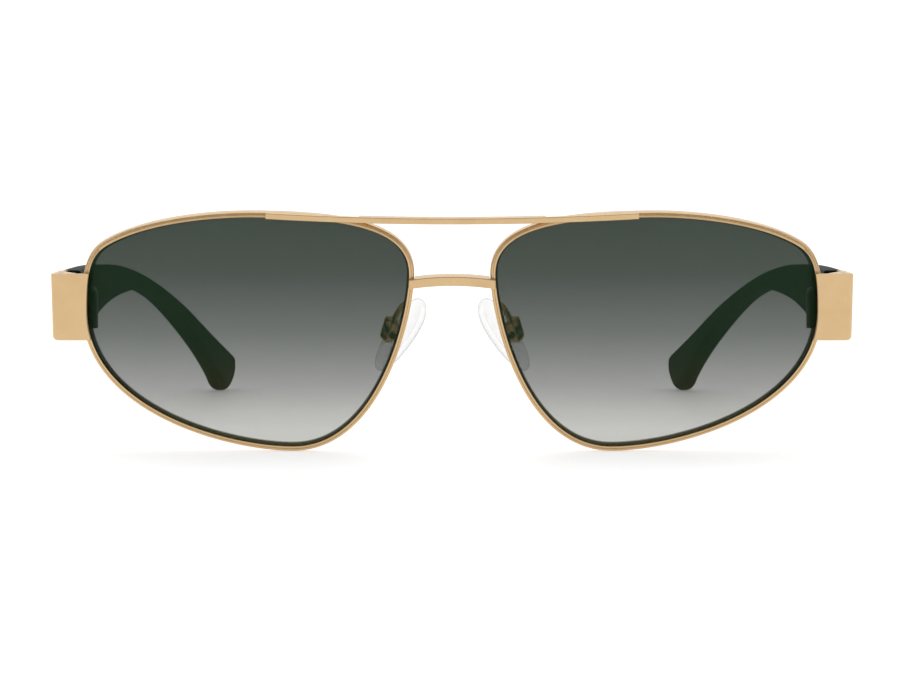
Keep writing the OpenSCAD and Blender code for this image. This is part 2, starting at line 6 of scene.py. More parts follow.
import bpy
import numpy as np
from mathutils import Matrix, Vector


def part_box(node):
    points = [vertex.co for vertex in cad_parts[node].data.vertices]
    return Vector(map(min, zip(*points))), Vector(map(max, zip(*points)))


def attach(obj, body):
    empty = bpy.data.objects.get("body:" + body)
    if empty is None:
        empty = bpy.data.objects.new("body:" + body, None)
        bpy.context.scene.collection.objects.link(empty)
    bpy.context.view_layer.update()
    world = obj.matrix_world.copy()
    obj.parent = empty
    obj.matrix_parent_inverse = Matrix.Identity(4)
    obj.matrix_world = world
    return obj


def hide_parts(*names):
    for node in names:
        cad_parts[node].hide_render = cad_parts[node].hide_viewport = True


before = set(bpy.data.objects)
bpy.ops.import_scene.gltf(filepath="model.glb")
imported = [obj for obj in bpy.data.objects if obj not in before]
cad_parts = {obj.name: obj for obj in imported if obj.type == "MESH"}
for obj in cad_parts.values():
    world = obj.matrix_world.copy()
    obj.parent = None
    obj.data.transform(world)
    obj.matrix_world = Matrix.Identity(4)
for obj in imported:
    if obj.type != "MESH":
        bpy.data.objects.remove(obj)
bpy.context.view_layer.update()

MM = 0.001
SIDES = {"left": 1, "right": -1}

# ---------------------------------------------------------------- sizes of the sunglasses

LENS_W, LENS_H, LENS_GAP, LENS_T = 59.5, 43.0, 15.8, 1.9
LENS_R, LENS_VERTEX = 150.0, 18.0
RIDGE_H, RIDGE_T, PLAY = 0.5, 1.0, 0.06
RIM_W, RIM_FRONT, RIM_BACK, SLIT = 0.95, 0.25, 0.3, 0.2
LEAN = np.radians(8)
BRAZE = 0.03
BRIDGE_H, BRIDGE_ARCH, BRIDGE_DROP, BRIDGE_T, STRAP_T = 1.75, 0.62, 2.0, 3.1, 0.9
BAR_H, BAR_T, BAR_REACH, BAR_DIP = 1.1, 2.0, 34.1, 1.0
END_H, END_LOW, PLATE_T, ARM_T = 12.4, -5.4, 1.0, 1.4
WEB_U, WEB_INNER, WEB_OUTER = 1.2, 8.4, 3.4
LOCK_H = 2.5
HINGE_BEHIND, SPLAY, KNUCKLE_R, BUTT = 7.6, np.radians(5.5), 1.5, 0.25
TEMPLE_L, TEMPLE_T, TEMPLE_STRAIGHT, TEMPLE_CURVE_R = 128.7, 3.8, 35.0, 400.0
WAIST_H, WAIST_AT, WAIST_FALL, UPPER_FALL = 4.0, 59.0, 3.4, 5.6
TIP_H, TIP_ROUND, HEEL_Z, HEEL_LEAD_Z, TOE_Z = 7.4, 7.2, 1.9, 7.0, 3.6
PAD_L, PAD_W, PAD_T, PAD_SEAT = 15.8, 7.0, 2.35, 1.75
PAD_TILT, PAD_TURN, BOX_TURN = np.radians(33), np.radians(57), np.radians(20)
PAD_BACK, PAD_SIDE, PAD_DROP, WIRE_D = 10.2, 3.9, 12.7, 1.1
PAD_RISE, PAD_INSET = 0.6, 0.4
ARM_SHARE, ARM_SIDE, ARM_LEAD, ARM_DROP = 5 / 26, 0.75, (0, 3.6, 0.2), 2.6
BOX_W, BOX_L, BOX_UP, BOX_TOP, BOX_FLOOR, BOX_WALL = 3.0, 4.6, 0.45, 0.8, -0.75, 0.45

MID = np.array([LENS_GAP / 2 + LENS_W / 2, RIM_W + LENS_H / 2])
HALF = np.array([LENS_W, LENS_H]) / 2
INNER_U = KNUCKLE_R + 0.2
OUTER_U = INNER_U + TEMPLE_T


# ---------------------------------------------------------------- curves

def cubic(p, t):
    """Point on a cubic Bezier curve with control points p at each t."""
    t = np.asarray(t, float)[:, None]
    p = np.asarray(p, float)
    s = 1 - t
    return s**3 * p[0] + 3 * s * s * t * p[1] + 3 * s * t * t * p[2] + t**3 * p[3]


def cubic_slope(p, t):
    """Direction of that curve at each t, a third of its derivative."""
    t = np.asarray(t, float)[:, None]
    p = np.asarray(p, float)
    s = 1 - t
    return s * s * (p[1] - p[0]) + 2 * s * t * (p[2] - p[1]) + t * t * (p[3] - p[2])


# Place, direction of travel, handle before and handle after, in half sizes of the opening
ANCHORS = [
    ((1, 0.14), (0, 1), 0.84, 0.37),
    ((0.87, 0.72), (-0.756, 0.654), 0.13, 0.32),
    ((-0.055, 1), (-1, 0), 0.27, 0.54),
    ((-1, 0.512), (0, -1), 0.395, 0.325),
    ((-0.274, -1), (1, 0), 0.54, 0.4),
]


def lens_opening(per_span):
    """The opening as points and outward directions, from the closing slit all the way round to it."""
    points, outward = [], []
    for a, b, n in zip(ANCHORS, ANCHORS[1:] + ANCHORS[:1], per_span):
        start, end = MID + HALF * a[0], MID + HALF * b[0]
        controls = [start, start + HALF * a[1] * a[3], end - HALF * b[1] * b[2], end]
        t = np.arange(n) / n
        d = cubic_slope(controls, t)
        points.append(cubic(controls, t))
        outward.append(np.stack([d[:, 1], -d[:, 0]], 1) / np.linalg.norm(d, axis=1)[:, None])
    points, outward = np.concatenate(points), np.concatenate(outward)
    return np.vstack([points, points[:1]]), np.vstack([outward, outward[:1]])


PER_SPAN = (30, 56, 54, 60, 64)
OPENING, OUTWARD = lens_opening(PER_SPAN)
SLIT_X, SLIT_V = MID + HALF * ANCHORS[0][0]
NOSE_X, NOSE_V = MID + HALF * ANCHORS[3][0]
TOP_V = MID[1] + HALF[1]
VERTEX_X = NOSE_X + LENS_VERTEX


def depth(x, v):
    """How far the lens's front surface, a sphere, lies behind its foremost point."""
    return LENS_R - np.sqrt(LENS_R**2 - (x - VERTEX_X) ** 2 - (v - MID[1]) ** 2)


EDGE = OPENING + RIM_W * OUTWARD
FOOT = np.min(EDGE[:, 1] * np.cos(LEAN) + (depth(*EDGE.T) - RIM_FRONT) * np.sin(LEAN))


# ---------------------------------------------------------------- frames of the pieces

low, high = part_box("hinge_screw_left")
HINGE = np.array([(low.x + high.x) / 2, (low.y + high.y) / 2]) / MM
SHIFT_Y = HINGE[1] - HINGE_BEHIND - depth(SLIT_X, SLIT_V) * np.cos(LEAN) + SLIT_V * np.sin(LEAN)
SLIT_Z = SLIT_V * np.cos(LEAN) + (depth(SLIT_X, SLIT_V) + LENS_T / 2) * np.sin(LEAN) - FOOT
END_Z = SLIT_Z + END_LOW
TEMPLE_TOP = END_Z + END_H


def leaning(p):
    """The front's frame, x outwards, y back through the lens and z up along the front, to the model's."""
    p = np.asarray(p, float)
    y = p[..., 1] * np.cos(LEAN) - p[..., 2] * np.sin(LEAN) + SHIFT_Y
    z = p[..., 1] * np.sin(LEAN) + p[..., 2] * np.cos(LEAN) - FOOT
    return np.stack([p[..., 0], y, z], -1)


def at_hinge(p):
    """The temple's frame, x outwards, y back along the temple and z up, to the model's."""
    p = np.asarray(p, float)
    x = HINGE[0] + p[..., 0] * np.cos(SPLAY) - p[..., 1] * np.sin(SPLAY)
    y = HINGE[1] + p[..., 0] * np.sin(SPLAY) + p[..., 1] * np.cos(SPLAY)
    return np.stack([x, y, p[..., 2]], -1)


PAD_ALONG = np.array([-np.sin(PAD_TILT), 0, np.cos(PAD_TILT)])
PAD_LIE = np.array([np.cos(PAD_TILT), 0, np.sin(PAD_TILT)])
PAD_ACROSS = np.cos(PAD_TURN) * PAD_LIE + [0, np.sin(PAD_TURN), 0]
PAD_OUT = -np.sin(PAD_TURN) * PAD_LIE + [0, np.cos(PAD_TURN), 0]
PAD_PLACE = np.array([NOSE_X + PAD_SIDE, PAD_BACK, NOSE_V - PAD_DROP])
BOX_ALONG = np.cos(BOX_TURN) * PAD_ALONG - np.sin(BOX_TURN) * PAD_OUT
BOX_OUT = np.sin(BOX_TURN) * PAD_ALONG + np.cos(BOX_TURN) * PAD_OUT


def at_pad(p):
    """The pad's frame, x across the pad, y up along it and z out of its face, to the model's."""
    p = np.asarray(p, float)
    return leaning(PAD_PLACE + p @ np.stack([PAD_ACROSS, PAD_ALONG, PAD_OUT]))


def at_box(p):
    """The frame of the pad's box: the pad's, turned about the rocking screw."""
    p = np.asarray(p, float)
    return leaning(PAD_PLACE + p @ np.stack([PAD_ACROSS, BOX_ALONG, BOX_OUT]))


# ---------------------------------------------------------------- meshes

def grid_faces(rows, columns, wrap_rows=False, wrap_columns=False):
    """Quadrilaterals between neighbours of a grid, joined round where it wraps."""
    i = np.arange(rows if wrap_rows else rows - 1)[:, None]
    j = np.arange(columns if wrap_columns else columns - 1)[None, :]
    i2, j2 = (i + 1) % rows, (j + 1) % columns
    quads = np.stack(np.broadcast_arrays(
        i * columns + j, i2 * columns + j, i2 * columns + j2, i * columns + j2), -1)
    return quads.reshape(-1, 4).tolist()


def bar_shell(rings):
    """Closed bar from rings of points, an array (ring, point, 3), with a flat face at each end."""
    n, m = rings.shape[:2]
    ends = [list(range(m))[::-1], list(range((n - 1) * m, n * m))]
    return rings.reshape(-1, 3), grid_faces(n, m, wrap_columns=True) + ends


def domed_shell(rings, first, last):
    """Closed shell from rings of points that shrink to the point first and to the point last."""
    n, m = rings.shape[:2]
    points = np.vstack([rings.reshape(-1, 3), [first], [last]])
    j = np.arange(m)
    near = np.stack([(j + 1) % m, j, np.full(m, n * m)], 1)
    far = np.stack([(n - 1) * m + j, (n - 1) * m + (j + 1) % m, np.full(m, n * m + 1)], 1)
    return points, grid_faces(n, m, wrap_columns=True) + near.tolist() + far.tolist()


def swept_volume(points, faces):
    """Signed volume of a closed shell, positive when its faces point outwards."""
    total = 0.0
    for size in set(map(len, faces)):
        f = points[np.array([x for x in faces if len(x) == size])]
        for k in range(1, size - 1):
            total += np.einsum("ij,ij->", f[:, 0], np.cross(f[:, k], f[:, k + 1]))
    return total / 6


def piece(name, shells, material, body, replaced=(), side=1, sharp=35, marks=None):
    """Mesh object from closed shells in millimetres, turned outwards, riding on its body."""
    points, faces, at = [], [], 0
    for p, f in shells:
        p = p * [side, 1, 1] * MM
        if swept_volume(p, f) < 0:
            f = [x[::-1] for x in f]
        points.append(p)
        faces += [[k + at for k in x] for x in f]
        at += len(p)
    mesh = bpy.data.meshes.new(name)
    mesh.from_pydata(np.vstack(points), [], faces)
    mesh.polygons.foreach_set("use_smooth", np.ones(len(faces), bool))
    mesh.set_sharp_from_angle(angle=np.radians(sharp))
    for key, values in (marks or {}).items():
        mesh.attributes.new(key, "FLOAT", "POINT").data.foreach_set("value", values.astype(np.float32))
    mesh.update()
    thing = bpy.data.objects.new(name, mesh)
    bpy.context.scene.collection.objects.link(thing)
    mesh.materials.append(material)
    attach(thing, body)
    if replaced:
        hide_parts(*replaced)
    return thing


def bevel(thing, width, segments=3, angle=35):
    """Rounds the sharp edges of a piece by so many millimetres."""
    m = thing.modifiers.new("edges", "BEVEL")
    m.width, m.segments, m.limit_method = width * MM, segments, "ANGLE"
    m.angle_limit = np.radians(angle)
    m.harden_normals = False
    return thing


def arc(centre, radii, start, end, n):
    """Points of an elliptical arc from start to end in degrees."""
    a = np.radians(np.linspace(start, end, n))
    return np.stack([centre[0] + radii[0] * np.cos(a), centre[1] + radii[1] * np.sin(a)], 1)


def frame_along(line):
    """Unit direction, side and top of a path at each of its points; side stays level."""
    d = np.gradient(line, axis=0)
    d /= np.linalg.norm(d, axis=1)[:, None]
    side = np.cross(d, [1.0, 0, 0])
    side /= np.linalg.norm(side, axis=1)[:, None]
    return d, side, np.cross(d, side)


# ---------------------------------------------------------------- shader graphs

class Wire:
    """A shader socket with Python's arithmetic: each operation adds its Math node."""

    def __init__(self, graph, socket):
        self.graph, self.socket = graph, socket

    def maths(self, operation, *others):
        return self.graph.node("ShaderNodeMath", {"operation": operation}, dict(enumerate([self, *others])))

    def __add__(self, other): return self.maths("ADD", other)
    def __sub__(self, other): return self.maths("SUBTRACT", other)
    def __mul__(self, other): return self.maths("MULTIPLY", other)
    def __truediv__(self, other): return self.maths("DIVIDE", other)
    def __pow__(self, other): return self.maths("POWER", other)
    def __radd__(self, other): return self.maths("ADD", other)
    def __rmul__(self, other): return self.maths("MULTIPLY", other)
    def __rsub__(self, other): return (self * -1) + other
    def clamp(self): return self.maths("MAXIMUM", 0.0).maths("MINIMUM", 1.0)


class Finish:
    """A material whose nodes are added by name, with settings first and then values or links."""

    def __init__(self, name, **constants):
        self.material = bpy.data.materials.new(name)
        self.material.use_nodes = True
        self.tree = self.material.node_tree
        self.shader = self.tree.nodes["Principled BSDF"]
        for key, value in constants.items():
            self.shader.inputs[key.replace("_", " ")].default_value = value
        self.place = self.node("ShaderNodeTexCoord", output="Object")

    def node(self, kind, settings=None, inputs=None, output=0):
        made = self.tree.nodes.new(kind)
        for key, value in (settings or {}).items():
            if key == "stops":
                ramp = made.color_ramp
                while len(ramp.elements) < len(value):
                    ramp.elements.new(1)
                for element, (at, colour) in zip(ramp.elements, value):
                    element.position, element.color = at, (*colour, 1)
            else:
                setattr(made, key, value)
        for key, value in (inputs or {}).items():
            if isinstance(value, Wire):
                self.tree.links.new(value.socket, made.inputs[key])
            else:
                made.inputs[key].default_value = value
        return Wire(self, made.outputs[output])

    def noise(self, scale, detail=4.0, rough=0.5, at=None):
        return self.node("ShaderNodeTexNoise", None, {
            "Vector": at or self.place, "Scale": scale, "Detail": detail, "Roughness": rough})

    def stretched(self, scale):
        return self.node("ShaderNodeMapping", None, {"Vector": self.place, "Scale": scale})

    def ramp(self, value, stops):
        return self.node("ShaderNodeValToRGB", {"stops": stops}, {"Fac": value})

    def part(self, axis):
        return self.node("ShaderNodeSeparateXYZ", None, {"Vector": self.place}, output=axis)

    def mark(self, key):
        return self.node("ShaderNodeAttribute", {"attribute_name": key}, output="Fac")

    def bump(self, height, distance, strength=1.0):
        return self.node("ShaderNodeBump", None, {
            "Height": height, "Distance": distance, "Strength": strength}, output="Normal")

    def feed(self, **links):
        for key, wire in links.items():
            self.tree.links.new(wire.socket, self.shader.inputs[key.replace("_", " ")])
        return self.material


def gold(name, roughness, grain, tone):
    """Gold plating: a fine satin grain, slight clouding of colour and hairline rubbing."""
    f = Finish(name, Metallic=1.0)
    clouds = f.noise(180.0, 3.0)
    fine = f.noise(1.0, 5.0, 0.6, f.stretched(grain))
    dark, light = (tuple(tone * c for c in rgb) for rgb in ((0.69, 0.475, 0.25), (0.75, 0.53, 0.29)))
    colour = f.ramp(clouds, [(0.3, dark), (0.7, light)])
    return f.feed(Base_Color=colour, Roughness=(fine - 0.5) * 0.16 + (clouds - 0.5) * 0.06 + roughness,
                  Normal=f.bump(fine, 0.000012, 0.5))


def tinted_glass():
    """Green tint, deepest at the top and fading downwards, with its ground edge painted black as shade,
    standing in for the dark line that refraction and reflection show there.
    """
    f = Finish("tinted_lens", Roughness=0.03, IOR=1.5, Specular_IOR_Level=0.06)
    rise = ((f.part("Z") - 0.001) / 0.0435).clamp() + (f.noise(60.0, 2.0) - 0.5) * 0.01
    edge = f.mark("ground_edge")
    tint = f.ramp(rise, [
        (0.0, (0.16, 0.16, 0.06)), (0.26, (0.026, 0.034, 0.013)), (0.45, (0.008, 0.028, 0.01)),
        (0.74, (0.009, 0.031, 0.012)), (1.0, (0.008, 0.033, 0.012))])
    fade = f.ramp(rise, [
        (0.0, (0.31,) * 3), (0.07, (0.33,) * 3), (0.15, (0.39,) * 3), (0.26, (0.485,) * 3),
        (0.39, (0.58,) * 3), (0.49, (0.645,) * 3), (0.74, (0.765,) * 3), (0.89, (0.79,) * 3),
        (1.0, (0.80,) * 3)])
    # Painted shade: the edge mark blends in a near-black colour and makes the edge opaque, standing in for
    # the dark line that refraction and reflection show at the lens's edge.
    rim = f.ramp(edge, [(0.0, (0, 0, 0)), (0.5, (0.7, 0.7, 0.7)), (1.0, (1, 1, 1))])
    shade = f.ramp(edge, [(0.45, (0.045, 0.045, 0.02)), (0.75, (0.004, 0.003, 0.004))])
    colour = f.node("ShaderNodeMix", {"data_type": "RGBA"}, {0: rim, 6: tint, 7: shade}, output=2)
    return f.feed(Base_Color=colour, Alpha=fade.maths("MAXIMUM", rim * 0.97))


def dark_acetate():
    """Polished acetate: near-black green with faint clouds and a soft polishing ripple."""
    f = Finish("dark_acetate", Specular_IOR_Level=0.06)
    clouds = f.noise(70.0, 4.0, 0.55, f.stretched((1.0, 0.25, 1.0)))
    ripple = f.noise(450.0, 2.0)
    colour = f.ramp(clouds, [(0.3, (0.003, 0.005, 0.003)), (0.7, (0.006, 0.010, 0.006))])
    return f.feed(Base_Color=colour, Roughness=ripple * 0.1 + 0.5, Normal=f.bump(ripple, 0.00002, 0.25))


def clear_silicone():
    """Clear moulded pad: see-through face on, with painted shade towards its edges, standing in for the dark
    lines that refraction shows where the pad is seen edge on.
    """
    f = Finish("clear_pad", Roughness=0.12, IOR=1.42)
    facing = f.node("ShaderNodeLayerWeight", None, {"Blend": 0.4}, output="Facing")
    cloud = f.noise(500.0, 2.0)
    # Painted shade: the colour darkens as the surface turns edge on, standing in for refraction's dark edge
    # lines.
    colour = f.ramp(facing, [(0.0, (0.8, 0.8, 0.8)), (0.5, (0.5, 0.5, 0.5)), (0.9, (0.08, 0.07, 0.07))])
    return f.feed(Base_Color=colour, Alpha=(facing**2 * 0.8 + cloud * 0.06 + 0.06).clamp(),
                  Normal=f.bump(cloud, 0.00003, 0.3))


def turned_steel(name, dark, light):
    """Turned metal with fine turning marks, between a dark and a light grey."""
    f = Finish(name, Metallic=1.0)
    marks = f.noise(1.0, 4.0, 0.6, f.stretched((3000.0, 3000.0, 9000.0)))
    colour = f.ramp(marks, [(0.3, dark), (0.7, light)])
    return f.feed(Base_Color=colour, Roughness=marks * 0.15 + 0.2)


RIM_GOLD = gold("rim_gold", 0.26, (5000.0, 5000.0, 5000.0), 0.88)
PLATE_GOLD = gold("plate_gold", 0.36, (2600.0, 2600.0, 16000.0), 0.94)
TINTED = tinted_glass()
ACETATE = dark_acetate()
CLEAR = clear_silicone()
STEEL = turned_steel("turned_steel", (0.45, 0.44, 0.42), (0.62, 0.61, 0.59))
# Painted shade: a darkened copy of the turned steel for the hinge leaves and pad screws, which sit in
# shadow.
SHADE_DARKENED_STEEL = turned_steel("shade_darkened_steel", (0.06, 0.055, 0.05), (0.1, 0.09, 0.08))


# ---------------------------------------------------------------- rims and lenses

RIM_END = LENS_T + RIM_BACK
EDGE_SEEN = 0.1     # least width of the lens's edge band, which is painted dark as shade
GROOVE = RIDGE_H + PLAY
GROOVE_NEAR, GROOVE_FAR = (LENS_T - RIDGE_T) / 2 - PLAY, (LENS_T + RIDGE_T) / 2 + PLAY
SHOULDER = 0.44     # where the rim's flat front gives way to its rounded outer side
RIM_SECTION = np.vstack([
    [[0, 0.04 - RIM_FRONT], [0.04, -RIM_FRONT], [SHOULDER - 0.08, -RIM_FRONT],
     [SHOULDER - 0.02, 0.055 - RIM_FRONT], [SHOULDER + 0.04, 0.005 - RIM_FRONT]],
    arc((SHOULDER + 0.06, 0.45 - RIM_FRONT), (RIM_W - 0.01 - SHOULDER - 0.06, 0.44), -80, 0, 8),
    arc((RIM_W - 0.36, RIM_END - 0.36), (0.35, 0.35), 0, 90, 7),
    [[0.05, RIM_END - 0.01], [0, RIM_END - 0.06], [0, GROOVE_FAR], [GROOVE, GROOVE_FAR],
     [GROOVE, GROOVE_NEAR], [0, GROOVE_NEAR]],
])


def rim_shell():
    """The section carried round the opening: each point lies its first number outwards of the
    opening, and its second number behind the lens's sphere at that place."""
    rail = OPENING.copy()
    rail[0, 1] += SLIT / 2
    rail[-1, 1] -= SLIT / 2
    flat = rail[:, None] + RIM_SECTION[None, :, :1] * OUTWARD[:, None]
    back = depth(flat[..., 0], flat[..., 1]) + RIM_SECTION[None, :, 1]
    return bar_shell(leaning(np.stack([flat[..., 0], back, flat[..., 1]], -1)))


def lens_shell():
    """Rings from the middle of the front, over the edge with its ridge, to the middle of the
    back. A ring is the opening shrunk towards its middle, or moved outwards by a few tenths, at
    its own depth behind the lens's sphere. The edge slopes in towards the back by the sphere's
    slope there times the lens's thickness, and ends in a narrow facet. Returns the shell and its
    marks of painted edge shade: 1 on the edge, 0.5 on the facet and 0 on the clear faces."""
    middle = MID + [2, 0]
    rail, away = OPENING[:-1], OUTWARD[:-1]
    front = rail - PLAY * away
    slope = np.einsum("ij,ij->i", rail - [VERTEX_X, MID[1]], away) / LENS_R
    inset = EDGE_SEEN + LENS_T * np.maximum(slope, 0) * np.where(away[:, 1] < 0, 1 + 0.55 * away[:, 1], 1)
    back = front - inset[:, None] * away
    share = np.append(np.sin(np.linspace(0.06, 1, 26) * np.pi / 2) * 0.97, 0.985)
    near, far = (LENS_T - RIDGE_T) / 2, (LENS_T + RIDGE_T) / 2
    rings = [(middle + q * (front - middle), 0.0, 0.0) for q in share]
    rings += [(front - 0.12 * away, 0.0, 0.0), (front, 0.0, 1.0), (front, near, 1.0),
              (rail + RIDGE_H * away, near, 1.0), (rail + RIDGE_H * away, far, 1.0),
              (front, far, 1.0), (back, LENS_T - 0.1, 1.0), (back - 0.05 * away, LENS_T - 0.05, 0.5),
              (back - 0.16 * away, LENS_T, 0.5), (back - 0.2 * away, LENS_T, 0.0)]
    rings += [(middle + q * (back - middle), LENS_T, 0.0) for q in share[::-1]]
    flat = np.stack([ring[0] for ring in rings])
    y = np.array([ring[1] for ring in rings])[:, None] + depth(flat[..., 0], flat[..., 1])
    poles = leaning([[middle[0], depth(*middle) + t, middle[1]] for t in (0, LENS_T)])
    shell = domed_shell(leaning(np.stack([flat[..., 0], y, flat[..., 1]], -1)), *poles)
    return shell, np.append(np.repeat([ring[2] for ring in rings], len(rail)), [0.0, 0.0])


# ---------------------------------------------------------------- nose bridge and brow bar

def bowed_bar(xs, low, height, front, back, rounding):
    """A bar across the front: at each x a rounded rectangle from low(x) up by height, and from
    front to back(x), all in the front's frame."""
    r = min(rounding, height / 2 - 0.01)
    corners = []
    for cx, cz, start in ((1, 1, 0), (0, 1, 90), (0, 0, 180), (1, 0, 270)):
        a = np.radians(np.linspace(start, start + 90, 6))
        corners.append(np.stack([np.full(6, cx), np.cos(a) - (1 if cx else -1),
                                 np.full(6, cz), np.sin(a) - (1 if cz else -1)], 1))
    c = np.vstack(corners)
    xs = np.asarray(xs, float)[:, None]
    y = front + c[None, :, 0] * (back(xs) - front) + r * c[None, :, 1]
    z = low(xs) + c[None, :, 2] * height + r * c[None, :, 3]
    return bar_shell(leaning(np.stack([np.broadcast_to(xs, y.shape), y, z], -1)))


def nose_bridge():
    """The arch rises as a parabola; it is thin where it lies on the rims and deep between them."""
    base = NOSE_V - BRIDGE_DROP - BRIDGE_ARCH
    seat = depth(NOSE_X, base) - RIM_FRONT - 0.15
    clear = NOSE_X - RIM_W - 0.1
    xs = np.concatenate([[-NOSE_X, -clear - 0.02], np.linspace(-clear, clear, 49), [clear + 0.02, NOSE_X]])
    shell = bowed_bar(xs, lambda x: base + BRIDGE_ARCH * (1 - (x / NOSE_X) ** 2), BRIDGE_H,
                      seat - STRAP_T,
                      lambda x: np.where(np.abs(x) > clear + 0.01, seat, seat - STRAP_T + BRIDGE_T), 0.18)
    piece("nose_bridge_piece", [shell], RIM_GOLD, "front", ["nose_bridge"])


def brow_bar():
    """The bar dips as a parabola; its ends are square and lie on the rims' fronts."""
    base = TOP_V - 0.05
    seat = depth(VERTEX_X, base - BAR_DIP) - RIM_FRONT - BRAZE
    clear = BAR_REACH / 2
    xs = np.concatenate([np.linspace(-BAR_REACH, -clear - 0.02, 24), np.linspace(-clear, clear, 49),
                         np.linspace(clear + 0.02, BAR_REACH, 24)])
    shell = bowed_bar(xs, lambda x: base - BAR_DIP * (1 - (x / BAR_REACH) ** 2), BAR_H,
                      seat - STRAP_T,
                      lambda x: np.where(np.abs(x) > clear + 0.01, seat, seat - STRAP_T + BAR_T), 0.14)
    piece("brow_bar_piece", [shell], RIM_GOLD, "front", ["brow_bar"])


# ---------------------------------------------------------------- end pieces

PLATE_BACK = depth(SLIT_X - 1.2, MID[1]) - RIM_FRONT - 0.05
PLATE_FRONT = PLATE_BACK - PLATE_T
ARM_U = OUTER_U - ARM_T
LOCK_TOP = SLIT_V + SLIT / 2 + LOCK_H


def across_hinge(u, y):
    """x of the plane that lies u outwards of the hinge axis, at so many millimetres back."""
    return HINGE[0] + (u - (y - HINGE[1]) * np.sin(SPLAY)) / np.cos(SPLAY)


def endpiece_shells():
    """A plan outline carried up the end piece: the plate in front of the rim, a rounded corner
    and the arm. The plate's plane leans with the front, so its place is worked out at each
    height, and its inner edge follows the lens opening. The lowest outer edge is a quarter
    circle. The web is a second outline carried up from above the closing block."""
    outer = OPENING[:, 0] > MID[0] + 20
    order = np.argsort(np.where(outer, OPENING[:, 1], 1e9))[:np.count_nonzero(outer)]
    web_foot = LOCK_TOP * np.cos(LEAN) + PLATE_BACK * np.sin(LEAN) - FOOT + 0.1
    corner_r, foot_r = 0.75, 0.8

    def plane(n, z):
        """y of the leaning plane that lies n behind the lens's foremost point, at height z."""
        return n * np.cos(LEAN) - (z + FOOT - n * np.sin(LEAN)) * np.tan(LEAN) + SHIFT_Y

    rise = foot_r * (1 - np.cos(np.linspace(0.02, np.pi / 2, 9)))
    heights = np.concatenate([END_Z + rise, np.linspace(END_Z + foot_r + 0.5, TEMPLE_TOP, 24)])
    wrap, web = [], []
    for z in heights:
        front, back = plane(PLATE_FRONT, z), plane(PLATE_BACK, z)
        v = (z + FOOT - PLATE_FRONT * np.sin(LEAN)) / np.cos(LEAN)
        x_in = np.interp(v, OPENING[order, 1], OPENING[order, 0]) + 0.01
        h = min(z - END_Z, foot_r)
        side = OUTER_U - (foot_r - np.sqrt(foot_r**2 - (foot_r - h) ** 2)) * 0.9
        end = at_hinge([[side, -BUTT, 0], [ARM_U, -BUTT, 0]])[:, :2]
        turn = arc((across_hinge(side, front + corner_r) - corner_r, front + corner_r),
                   (corner_r, corner_r), -90, 0, 7)
        ring = np.vstack([[[x_in, front]], turn, end,
                          [[across_hinge(ARM_U, back + 0.3), back + 0.3],
                           [across_hinge(ARM_U, back) - 0.3, back], [x_in, back]]])
        wrap.append(np.column_stack([ring, np.full(len(ring), z)]))
    for z in np.linspace(web_foot, TEMPLE_TOP, 4):
        back = plane(PLATE_BACK, z) - 0.1
        ring = np.vstack([at_hinge([[WEB_U, -WEB_INNER, 0], [ARM_U + 0.1, -WEB_OUTER, 0]])[:, :2],
                          [[across_hinge(ARM_U + 0.1, back), back], [across_hinge(WEB_U, back), back]]])
        web.append(np.column_stack([ring, np.full(len(ring), z)]))
    return [bar_shell(np.stack(wrap)), bar_shell(np.stack(web))]


# ---------------------------------------------------------------- temples

def temple_edges():
    """Lower and upper edge of a temple seen from the side, as points (along, height)."""
    tip_l = TEMPLE_L - TIP_ROUND
    waist = TEMPLE_TOP - WAIST_FALL - WAIST_H
    t = np.linspace(0, 1, 80)
    upper = cubic([(0, TEMPLE_TOP), (0.45 * TEMPLE_L, TEMPLE_TOP),
                   (0.655 * TEMPLE_L, TEMPLE_TOP - UPPER_FALL), (TEMPLE_L, TIP_H)], t)
    lower = np.vstack([
        cubic([(0, END_Z + 0.2), (0.28 * WAIST_AT, END_Z + 0.9), (0.3 * WAIST_AT, waist),
               (WAIST_AT, waist)], t)[:-1],
        cubic([(WAIST_AT, waist), (1.5 * WAIST_AT, waist), (0.9 * TEMPLE_L, HEEL_LEAD_Z),
               (tip_l, HEEL_Z)], t)[:-1],
        cubic([(tip_l, HEEL_Z), (tip_l + 0.33 * TIP_ROUND, -0.9),
               (TEMPLE_L - 0.3 * TIP_ROUND, -0.4), (TEMPLE_L, TOE_Z)], t)])
    drop = lower[:, 1].min()
    for line in (upper, lower):
        line[:, 1] -= drop * (line[:, 0] / TEMPLE_L) ** 2
    return lower, upper


